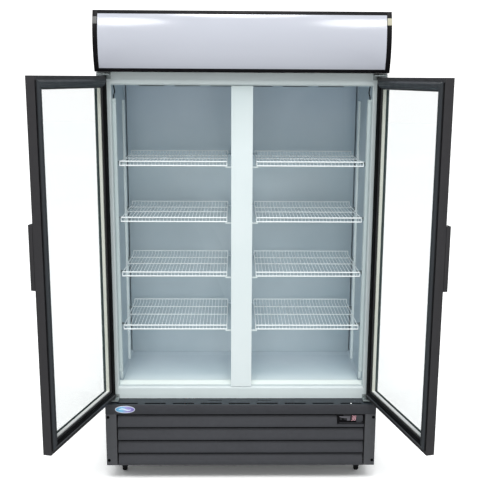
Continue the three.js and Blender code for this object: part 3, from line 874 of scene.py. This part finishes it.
def front_panel():
    x0, x1 = grille_box.x0, grille_box.x1
    y0, y1, z0 = grille_box.y0, grille_box.y1, grille_box.z0
    inner = x1 - POST
    painted, painted_shade_slot, ledge, post = range(4)
    shape = Shape()

    # a ledge with two rows of slots
    slot_half = 46.5
    centres = [i * LEDGE_PITCH - LEDGE_SHIFT for i in LEDGE_SLOTS]
    rows = {1: [(c - slot_half, c + slot_half) for c in centres], 3: [(-142, -84), (75, 134)]}
    marks = sorted({end for row in rows.values() for span in row for end in span})
    a_lines = [x0 + 1.0, *marks, x1 - 1.0]

    def open_cell(i, j):
        middle = (a_lines[i] + a_lines[i + 1]) / 2
        return any(low < middle < high for low, high in rows.get(j, ()))

    shape.plate(
        a_lines, (0.6, 5.6, 13.4, 29.0, 32.5, 43.6), open_cell, ledge_point, 0.0, 1.6, ledge,
    )

    # a fascia, rounded over at the top
    top = arc(y0 + 3, FASCIA_TOP - 3, 3, 180, 105, 4)
    fold = shifted([(2, 2), (9, -0.4), (8, -1.6), (1.2, 0)], y0, FASCIA_BOTTOM)
    fascia = [(y0, FASCIA_BOTTOM + 2), *top, (y0 + 3, FASCIA_TOP - 3), *fold]
    shape.prism(fascia, along_x, x0 + 0.3, x1 - 0.3, painted)
    # a near-black strip under the ledge's slots: painted shade seen through them
    shape.box(x0 + 3, x1 - 3, y0 + 3, y1 - 4, FASCIA_TOP - 17, FASCIA_TOP - 16, slot=painted_shade_slot)

    # a post at each side, and a near-black stop closing the gap at the lowest louvre's end: painted shade
    cheek = [
        (y0 + 1.5, FASCIA_BOTTOM), (y0 + 1.5, FASCIA_TOP - 1.2),
        (y1, grille_box.z1 - 1.2), (y1, FASCIA_BOTTOM),
    ]
    for side in (-1, 1):
        shape.box(side * inner, side * x1, y0, y1, z0, FASCIA_BOTTOM - 0.3, 1.8, post)
        shape.prism(cheek, along_x, side * (x1 - 1.5), side * (x1 - 0.2), painted)
        ends = side * (inner - 5.5), side * (inner + 1)
        shape.box(*ends, y0 + 5, y0 + 15, z0 + 5, z0 + 22, 0.6, painted_shade_slot)

    # a rail along the bottom, and a near-black sheet behind the louvres: painted shade in the gaps between them
    shape.box(-inner - 1, inner + 1, y0 + 0.4, y0 + 15, z0, z0 + 5.5, 1.2, painted)
    shape.box(
        -inner - 1, inner + 1, y1 - 6.5, y1 - 5.5, z0 + 1, FASCIA_BOTTOM + 10, slot=painted_shade_slot,
    )

    # louvres: each leans back as it rises and tucks behind the one above
    for slat in range(1, SLAT_COUNT + 1):
        low = FASCIA_BOTTOM - slat * SLAT_PITCH + (6 if slat == SLAT_COUNT else 0)
        high = FASCIA_BOTTOM - (slat - 1) * SLAT_PITCH - 10.5
        outline = (
            shifted([(1.6, -0.2), (0.5, 0.6), (0.2, 3), (1.4, 12)], y0, low)
            + shifted([(15.5, 0), (17.3, -0.6)], y0, high)
            + shifted([(3.2, 11), (2.2, 3.4), (8, 1.0), (7.4, -0.4)], y0, low)
        )
        end = inner - 5
        if slat == 1:
            pocket = control_box.x0 - 0.4
            below = [(a, min(c, control_box.z0 - 0.4)) for a, c in outline]
            shape.prism(below, along_x, pocket, end, painted)
            end = pocket
        shape.prism(outline, along_x, 5 - inner, end, painted)
    shape.make(
        "front_panel", ["panel_paint", "panel_shadow_paint", "ledge_paint", "post_paint"],
        "panel_black", angle=32, replaces=("front_grille",),
    )


def panel_screws():
    shape = Shape()
    plug = [(0, 0), (6.8, 0), (6.8, 1.2), (5.8, 1.6), (5.0, 0.9), (0, 0.8)]
    for side in (-1, 1):
        for z in PLUG_HEIGHTS:
            place = (side * (grille_box.x1 - 11.0), grille_box.y0 + 0.3, z)
            shape.lathe(plug, 18, facing(place, (0, -1, 0)))
    rivet = [(0, 0), (3.4, 0), (3.4, 0.9), (2.0, 1.9), (0, 2.1)]
    shape.lathe(rivet, 14, facing(ledge_point(489, 9.5, 0.9), (0, -0.5, 1)), 1)
    shape.make("front_panel_screws", ["black_screw", "bright_steel"], "trim_black")


def badge():
    """A plain oval badge: a pale domed rim around an enamel that runs from blue to violet."""
    centre_x, centre_z = grille_box.x0 + 87.5, 350.0
    half_width, half_height = 44.0, 17.0
    graded(
        "badge_enamel",
        [
            (0.0, (24, 150, 206)), (0.32, (104, 186, 226)),
            (0.6, (150, 140, 212)), (1.0, (88, 62, 168)),
        ],
        centre_x - half_width, centre_x + half_width, "X", 0.25, coat=1.0,
    )

    def ellipse(scale, depth, count=48):
        wide, tall = scale * half_width, half_height - (1 - scale) * half_width
        turns = [2 * pi * i / count for i in range(count)]
        y = grille_box.y0 - depth
        return [(centre_x + wide * cos(t), y, centre_z + tall * sin(t)) for t in turns]

    shape = Shape()
    rim = ((1.0, -0.6), (1.0, 0.7), (0.985, 1.3), (0.95, 1.5), (0.93, 1.1), (0.93, -0.6))
    dome = ((0.925, 0.9), (0.90, 1.2), (0.80, 1.6), (0.70, 1.8))
    shape.loft([ellipse(*ring) for ring in rim], 1)
    shape.loft([ellipse(*ring) for ring in dome], 0)
    wave = []
    steps = [i / 24 for i in range(25)]
    for run, edge, swell in ((steps, 1.5, 2.0), (reversed(steps), -1.5, -1.0)):
        for t in run:
            ripple = 3.2 * sin(2 * pi * t) + edge + swell * sin(pi * t)
            wave.append((centre_x - 27 + 54 * t, centre_z + ripple))
    shape.prism(wave, along_y, grille_box.y0 - 2.1, grille_box.y0 - 1.5, 2)
    shape.make("front_badge", ["badge_enamel", "badge_rim", "badge_wave"], angle=40)


def thermostat():
    refined("control_housing", "trim_black", 0.5, "trim_black")
    for node in ("key_down", "key_up"):
        refined(node, "key_cap", 0.8, "trim_black")
    b = control_box
    x, recess = b.x0, b.y0 + 10

    def front_plate(shape, outline, proud, slot=0):
        shape.prism(outline, along_y, recess - proud, recess + 1, slot)

    # a smoked lens shaped like a shallow bowl, a tab above it and a plain blank to the right
    face = Shape()
    brow = b.z1 - 13.5
    turns = [radians(180 * i / 14) for i in range(15)]
    curve = [(38.5 - 29.5 * cos(t), -8.0 * sin(t) - 1.2) for t in turns]
    front_plate(face, shifted([(9, 0), *curve, (68, 0)], x, brow), 4.4)
    lower = shifted([(44, 9), (58, 9)], x, b.z0) + shifted([(62, -8), (44, -10.2)], x, brow)
    front_plate(face, lower, 3.0)
    front_plate(face, shifted([(28, -9), (62, -9), (57, -4), (33, -4)], x, b.z1), 6.5, 1)
    front_plate(face, rounded_rectangle(x + 86, b.x1 - 8, b.z0 + 4, b.z1 - 8, 3), 8.0, 1)
    face.make("display_lens", ["smoked_lens", "panel_paint"], "trim_black", bevel=0.7)
    bezel = Shape()
    lip = shifted([(-1.0, 3.2), (-1.5, 2.0), (-0.8, 0.8), (3, 0.8), (3, 3.2)], b.y0, b.z0)
    bezel.prism(lip, along_x, x + 10, b.x1 - 8)
    bezel.make("display_bezel", "panel_paint", "trim_black", bevel=0.4)

    # two thin seven-segment figures that lean to the right
    digits = Shape()
    height, width, bar, lean, spacing = 21.0, 7.4, 1.5, 0.14, 11.5
    gap, half = bar * 0.7, height / 2
    base, start = b.z0 + 12.0, x + 62.5
    across = {"a": height, "g": half, "d": 0}
    upright = {"f": (0, half), "b": (width, half), "e": (0, 0), "c": (width, 0)}
    for index, figure in enumerate("38"):
        left = start + index * spacing
        for key in SEGMENTS[figure]:
            if key in across:
                ends = (gap, width - gap)
                low, high = across[key] - bar / 2, across[key] + bar / 2
            else:
                place, rise = upright[key]
                ends = (place - bar / 2, place + bar / 2)
                low, high = rise + gap, rise + half - gap
            corners = ((ends[0], low), (ends[1], low), (ends[1], high), (ends[0], high))
            slanted = [(left + a + c * lean, base + c) for a, c in corners]
            digits.prism(slanted, along_y, recess - 5.2, recess - 4.6)
    window = rounded_rectangle(start - 3, start + 25, base - 3, base + height + 3, 2)
    front_plate(digits, window, 4.5, 1)
    digits.make("display_digits", ["red_digits", "trim_black"], "light_cover")


front_panel()
panel_screws()
badge()
thermostat()


# ---------------- doors

RAIL = 48.0
PIN_CAP_HEIGHT = 1800


def hinge_joint(label):
    return next(j for j in frame["joints"] if j["name"] == f"{label}_door_hinge")


def rest_turn(label):
    """The matrix that takes a shut door's piece, in metres, to where the door rests."""
    joint = hinge_joint(label)
    shut = max(joint["range_deg"], key=abs)
    pivot = Matrix.Translation(joint["pos_m"])
    return pivot @ Matrix.Rotation(radians(-shut), 4, "Z") @ pivot.inverted()


def shut_box(node, label):
    back = rest_turn(label).inverted()
    points = [back @ v.co for v in cad_mesh(node).vertices]
    axes = list(zip(*points))
    return Box([min(axis) for axis in axes], [max(axis) for axis in axes])


def inset_frame(box, points):
    """A profile of (inset from the outer edge, y) points as Shape.frame wants it."""
    return (box.x0, box.x1, box.z0, box.z1), [(-w, -w, -w, -w, y) for w, y in points]


def door(label, side):
    body, turn = f"{label}_door", rest_turn(label)
    f, g_in, g_out, gasket, h = (
        shut_box(f"{body}_{part}", label)
        for part in ("frame", "inner_glass", "outer_glass", "gasket", "handle")
    )
    inner, outer = f.y1, f.y0

    def fit(shape, name, materials, slot, part=None, **settings):
        """Makes the shape on this door. part is the CAD piece that it stands in for."""
        replaces = (f"{body}_{part}",) if part else ()
        shape.make(
            f"{body}_{name}", materials, slot, body=body, matrix=turn, replaces=replaces,
            **settings,
        )

    # frame: rounded outer arris, a shallow land, and beads that hold the glass
    shape = Shape()
    profile = [
        (3.0, outer), (1.2, outer + 0.5), (0.4, outer + 1.4), (0.0, outer + 3.2),
        (0.0, inner - 3.0), (0.5, inner - 1.2), (1.6, inner - 0.3), (3.4, inner),
        *shifted([(-3.0, 0), (-0.6, -0.8), (0, -2.0)], RAIL, inner),
        (RAIL, g_in.y1 + 0.3), (RAIL - 12, g_in.y1 + 0.3),
        (RAIL - 12, g_out.y0 - 0.3), (RAIL, g_out.y0 - 0.3),
        *shifted([(0, 0.8), (-0.8, 0.3), (-2.4, 0.2), (-9.0, 0.2), (-9.6, 0)], RAIL, outer),
    ]
    shape.frame(*inset_frame(f, profile))
    fit(shape, "frame_shell", "door_frame_black", "door_black", "frame", angle=30)

    # gasket: a dart in the frame, a folded bellows and a flat magnet pocket
    start, face = gasket.x0 - f.x0, gasket.y1
    pocket = (
        shifted([(1.0, 0.3), (0, 1.4), (2.2, 2.6), (3.4, 4.2)], start, inner)
        + shifted([(6.6, -0.9), (8.2, 0), (12.0, 0), (13.0, -0.7)], start, face)
        + [(start + 13.0, inner + 0.3)]
    )
    folds = [(13.05, -0.8), (15.0, -1.6), (16.6, -0.9), (18.6, -0.4), (23.0, -1.2)]
    bellows = (
        [(start + 13.05, inner + 0.3)]
        + shifted([*folds, (26.0, -3.2), (28.0, -5.4)], start, face)
        + shifted([(27.4, 0.8), (25.0, 0.3)], start, inner)
    )
    ring = Shape()
    # Slot 1 is near-black rubber that doubles as painted shade on the hinge side, the bottom bellows and the
    # darts; slot 2 is a paler copy of the face, a painted highlight on the bottom pocket.
    stiles = (1, 0) if side > 0 else (0, 1)
    ring.frame(*inset_frame(f, pocket), (2, stiles[0], 0, stiles[1]))
    ring.frame(*inset_frame(f, bellows), (1, stiles[0], 0, stiles[1]))
    dart = (inner - 2.4, inner + 0.3, f.z0 + start + 2, f.z1 - start - 2)
    for x in (f.x0, f.x1 - start + 0.4):
        ring.box(x + 3.6, x + start - 4.0, *dart, slot=1)
    rubbers = ["gasket_face", "gasket_rubber_painted_shade", "gasket_painted_highlight"]
    fit(ring, "gasket_seal", rubbers, "gasket", "gasket", angle=30)

    # glazing: two panes, the spacer bar between them, and the sealant behind it
    for pane, b in (("inner", g_in), ("outer", g_out)):
        sheet = Shape()
        sheet.box(b.x0, b.x1, b.y0, b.y1, b.z0, b.z1, 0.5)
        fit(sheet, f"{pane}_pane", "door_glass", "clear_glass", f"{pane}_glass")
    gap_in, gap_out = g_in.y0 - 0.25, g_out.y1 + 0.25
    bead = gap_out + 4.2
    spacer = [
        (-6.0, gap_in), (0.2, gap_in), (0.8, gap_in - 0.6),
        (0.8, bead + 0.6), (0.2, bead), (-6.0, bead),
    ]
    black = [(-6.0, bead - 0.1), (0.6, bead - 0.1), (0.9, gap_out + 0.3), (-6.0, gap_out)]
    sealant = [(-11.4, gap_in), (-6.3, gap_in), (-6.3, gap_out), (-11.4, gap_out)]
    bar = Shape()
    # the spacer's top and bottom runs take the paler copy: a painted highlight
    for points, slot in ((spacer, (2, 0, 2, 0)), (black, 1), (sealant, 1)):
        bar.frame(*inset_frame(f, shifted(points, RAIL, 0)), slot)
    bars = ["spacer_bar", "butyl_sealant", "spacer_bar_painted_highlight"]
    fit(bar, "glazing_spacer", bars, "bare_aluminium", angle=40)

    # pull: a rounded J-section
    free, depth = h.far(-side), h.y1 - h.y0
    outline = [
        (34.0, 0.2), (34.0, 3.2), (31.0, 4.0), (5.4, 4.0), (4.0, 5.4),
        *shifted([(4.0, -5.2), (5.2, -4.0), (27.0, -4.0), (29.6, -3.0), (29.6, -1.2)], 0, depth),
        *shifted([(28.4, 0), (3.4, 0), (1.2, -1.0), (0.1, -3.2)], 0, depth),
        (0.1, 1.2), (1.0, 0.2),
    ]
    pull = Shape()
    pull.prism(outline, lambda a, b, d: (free + side * a, h.y1 - b, d), h.z0, h.z1)
    fit(pull, "pull", "door_frame_black", "door_black", "handle", bevel=0.5, angle=30)

    # small parts: the corner screws and the washers round the hinge pins
    bits = Shape()
    hinge_x = f.far(side)
    for z in (f.z0 + 24, f.z1 - 24):
        for x in (hinge_x - side * 5.6, free + side * 5.6):
            screw(bits, (x, inner - 2.9, z), (0, 1, 0), 2.2, 0.9)
    washer = [(5.6, 0), (10, 0), (10, 1.3), (9.2, 1.9), (5.6, 1.9), (5.6, 0)]
    for z, up in ((f.z1 - 0.4, 1), (f.z0 + 0.4, -1)):
        pin = (hinge_x - side * 21.0, inner - 18.0, z)
        bits.lathe(washer, 24, facing(pin, (0, 0, up)), 2)
    fit(bits, "small_parts", ["black_screw", "trim_black", "satin_aluminium"], "trim_black")


def hinge_hardware(label, side):
    for end in ("top", "bottom"):
        refined(f"hinge_{end}_{label}", "zinc_plate", 0.5, "zinc")
    shape = Shape()
    top, bottom = cad(f"hinge_top_{label}"), cad(f"hinge_bottom_{label}")
    for b, z in ((top, top.z1 - 5.6), (bottom, bottom.z0 + 10.0)):
        for x in (b.near(side) + side * 8, b.near(side) + side * 22):
            screw(shape, (x, -2.1, z), (0, -1, 0), 3.4, 1.0)
    pin_x = side * (cad("side_panel_right").x1 - 21)
    pin_y = hinge_joint(label)["pos_m"][1] / MM
    cap = [(0, 0), (8.5, 0), (8.5, 1.6), (7.0, 3.2), (4.0, 3.8), (0, 3.8)]
    shape.lathe(cap, 20, facing((pin_x, pin_y, PIN_CAP_HEIGHT), (0, 0, 1)))
    shape.make(f"hinge_screws_{label}", ["zinc_plate", "black_screw"], "zinc")


for label, side in SIDES:
    door(label, side)
for label, side in SIDES:
    hinge_hardware(label, side)


# ---------------- base, casters and machinery

MOUNTING_PLATE_BOTTOM = 79.8
FORK_OFFSET = 18.0
BOLT_SPACING = (-24, 24)


def caster(corner):
    wheel = cad(f"caster_wheel_{corner}")
    x, y, z = wheel.mid_x, wheel.mid_y, wheel.mid_z
    radius, half = (wheel.z1 - wheel.z0) / 2, (wheel.x1 - wheel.x0) / 2
    refined(f"caster_fork_{corner}", "zinc_plate", 0.5, "zinc")
    axle = facing((x, y, z), (1, 0, 0))
    shape = Shape()
    tread = [(20, 3), (21, 1), (27, 0.6), (29.2, 2.4), (radius, 5)]
    hub = [(4.6, 0), (9, 0), (9.5, 2.5), (18, 3.2), (20.8, 1.6)]
    for half_profile, sides, slot in ((tread, 40, 0), (hub, 32, 1)):
        left = [(r, h - half) for r, h in half_profile]
        right = [(r, half - h) for r, h in reversed(half_profile)]
        shape.lathe([*left, *right, left[0]], sides, axle, slot)
    shape.make(
        f"wheel_{corner}", ["tyre_rubber", "wheel_hub_plastic"], "tyre",
        body=f"wheel_{corner}", replaces=(f"caster_wheel_{corner}",),
    )
    nuts = Shape()
    nut = [(0, 0), (6.2, 0), (6.2, 2.6), (5.4, 3.4), (0, 3.4)]
    for side in (-1, 1):
        nuts.lathe(nut, 6, facing((x + side * (half + 4.3), y, z), (side, 0, 0)))
    nuts.make(f"axle_nuts_{corner}", "bright_steel", "zinc", body=f"fork_{corner}", angle=25)
    bolts = Shape()
    for dx in BOLT_SPACING:
        for dy in BOLT_SPACING:
            place = (x + dx, y - FORK_OFFSET + dy, MOUNTING_PLATE_BOTTOM)
            bolts.lathe([(0, 0), (5.2, 0), (5.2, 2.4), (0, 2.4)], 6, facing(place, (0, 0, -1)))
    bolts.make(f"caster_bolts_{corner}", "zinc_plate", "zinc", angle=25)


def finned_coil(node, pitch):
    b = cad(node)
    shape = Shape()
    count = int((b.x1 - b.x0 - 16) / pitch)
    for i in range(count + 1):
        x = b.x0 + 8 + i * (b.x1 - b.x0 - 16) / count
        shape.box(x - 0.35, x + 0.35, b.y0 + 1, b.y1 - 1, b.z0 + 1, b.z1 - 1)
    for x in (b.x0 + 5, b.x1 - 5):
        shape.box(x - 1, x + 1, b.y0, b.y1, b.z0, b.z1, 0.3, 2)
    rows = 5
    for i in range(rows):
        z = b.z0 + (i + 0.5) * (b.z1 - b.z0) / rows
        for y in (b.mid_y - 16, b.mid_y + 16):
            shape.tube([(b.x0 + 1.5, y, z), (b.x1 - 1.5, y, z)], 4.5, 10, 1)
    shape.make(
        f"{node}_fins", ["satin_aluminium", "copper_tube", "zinc_plate"], "bare_aluminium",
        angle=40, replaces=(node,),
    )


def refrigerant_pipes():
    b, coil = cad("compressor"), cad("condenser_coil")
    x, y, z = b.x1 - 60, b.mid_y, b.z0 + 90
    shape = Shape()
    discharge = [
        (x, y - 30, z), (x + 70, y - 60, z), (x + 70, y - 60, z + 120),
        (coil.x0 - 12, 200, z + 120), (coil.x0 - 12, 110, z + 100), (coil.x0 + 4, 110, z + 100),
    ]
    shape.tube(eased(discharge, 16, 5), 4.0, 10)
    suction = [
        (x - 30, y + 60, z + 20), (x - 30, y + 110, z + 40),
        (x - 30, y + 110, 340), (x - 30, 560, 380),
    ]
    shape.tube(eased(suction, 16, 5), 6.0, 10)
    shape.make("refrigerant_pipes", "copper_tube", "bare_aluminium", angle=60)


refined("base_frame", "black_paint", 0.5, "black_steel")
for corner in ("front_left", "front_right", "rear_left", "rear_right"):
    caster(corner)
refined("compressor", "black_paint", 1.2, "black_steel")
refined("condenser_fan", "satin_aluminium", 0.6, "bare_aluminium")
refined("evaporator_fan", "satin_aluminium", 0.6, "bare_aluminium")
finned_coil("condenser_coil", 9.0)
finned_coil("evaporator_coil", 11.0)
refrigerant_pipes()


# ---------------- floor, light and camera

AMBIENT = 0.55
KEY = 1.75
KEY_RISE = radians(57)
KEY_SPREAD = radians(22)
SOFTBOX = 28.0
FILL = 24.0
BACKDROP = 1.37
FLOOR_REACH = 30.0
FLOOR_DROP = 0.0005


def floor():
    """A white floor. The camera sees it brighter than its light falls on the cabinet."""
    mesh = bpy.data.meshes.new("floor")
    r = FLOOR_REACH
    mesh.from_pydata([(-r, -r, 0), (r, -r, 0), (r, r, 0), (-r, r, 0)], [], [(0, 1, 2, 3)])
    n = new_material("studio_floor")
    seen = n.add("ShaderNodeLightPath")["Is Camera Ray"]
    speckle = n.ramp(n.noise(3.0), 0.0, 0.02)
    white = n.mix(speckle, (1.38, 1.385, 1.38, 1.0), (1.35, 1.355, 1.35, 1.0))
    n.fill(n.shader, {
        "Base Color": n.mix(seen, (0.40, 0.41, 0.41, 1.0), white),
        "Roughness": 0.8,
        "Specular IOR Level": 0.1,
        "Emission Color": n.mix(seen, (0, 0, 0, 1), (0.02, 0.021, 0.0205, 1)),
        "Emission Strength": 1.0,
    })
    mesh.materials.append(M["studio_floor"])
    floor = add_object("studio_floor", mesh)
    floor.location.z = -FLOOR_DROP


def surround():
    """Soft light from all round, and a plain white backdrop for the camera."""
    world = bpy.data.worlds.new("studio")
    n = Nodes(world, "World Output")
    light = n.tree.nodes["Background"]
    n.fill(light, {"Color": (0.97, 0.99, 1.0, 1.0), "Strength": AMBIENT})
    backdrop = n.add("ShaderNodeBackground", {"Color": (1, 1, 1, 1), "Strength": BACKDROP})
    mixer = n.add("ShaderNodeMixShader", {
        "Fac": n.add("ShaderNodeLightPath")["Is Camera Ray"],
        1: light.outputs["Background"],
        2: backdrop["Background"],
    })
    n.fill(n.shader, {"Surface": mixer["Shader"]})
    bpy.context.scene.world = world


def lamp(name, kind, place, target, energy, **settings):
    data = bpy.data.lights.new(name, kind)
    data.energy = energy
    for key, value in settings.items():
        setattr(data, key, value)
    light = add_object(name, data)
    light.location = place
    aim = Vector(target) - Vector(place)
    light.rotation_euler = aim.to_track_quat("-Z", "Y").to_euler()
    return light


def lights():
    """A broad light overhead, two softboxes up in front and a low fill without reflections."""
    lamp("key", "SUN", (0, -4, 4 * tan(KEY_RISE)), (0, 0, 0), KEY, angle=KEY_SPREAD)
    for side in (-1, 1):
        lamp(
            "softbox", "AREA", (side * 1.86, -2.83, 3.94), (side * 0.7, 0, 2.0), SOFTBOX,
            shape="ELLIPSE", size=1.5, size_y=0.9,
        )
    fill = lamp(
        "low_fill", "AREA", (0, -3.4, 0.75), (0, 0.3, 1.6), FILL,
        shape="RECTANGLE", size=2.4, size_y=1.1,
    )
    fill.visible_glossy = False


def camera():
    """A level camera turned by yaw, tipped down by pitch and rolled about its own axis."""
    pitch, yaw, roll = (radians(a) for a in (11.823, 0.970, 0.338))
    data = bpy.data.cameras.new("camera")
    data.sensor_width = 36.0
    data.lens = 59.607
    data.clip_end = 100.0
    cam = add_object("camera", data)
    cam.matrix_world = (
        Matrix.Translation((-0.0229, -3.4851, 1.7918))
        @ Matrix.Rotation(-yaw, 4, "Z")
        @ Matrix.Rotation(pi / 2 - pitch, 4, "X")
        @ Matrix.Rotation(roll, 4, "Z")
    )
    bpy.context.scene.camera = cam


floor()
surround()
lights()
camera()
bpy.context.scene.view_settings.view_transform = "Standard"
bpy.context.scene.view_settings.look = "None"
bpy.context.scene.view_settings.exposure = 0.0
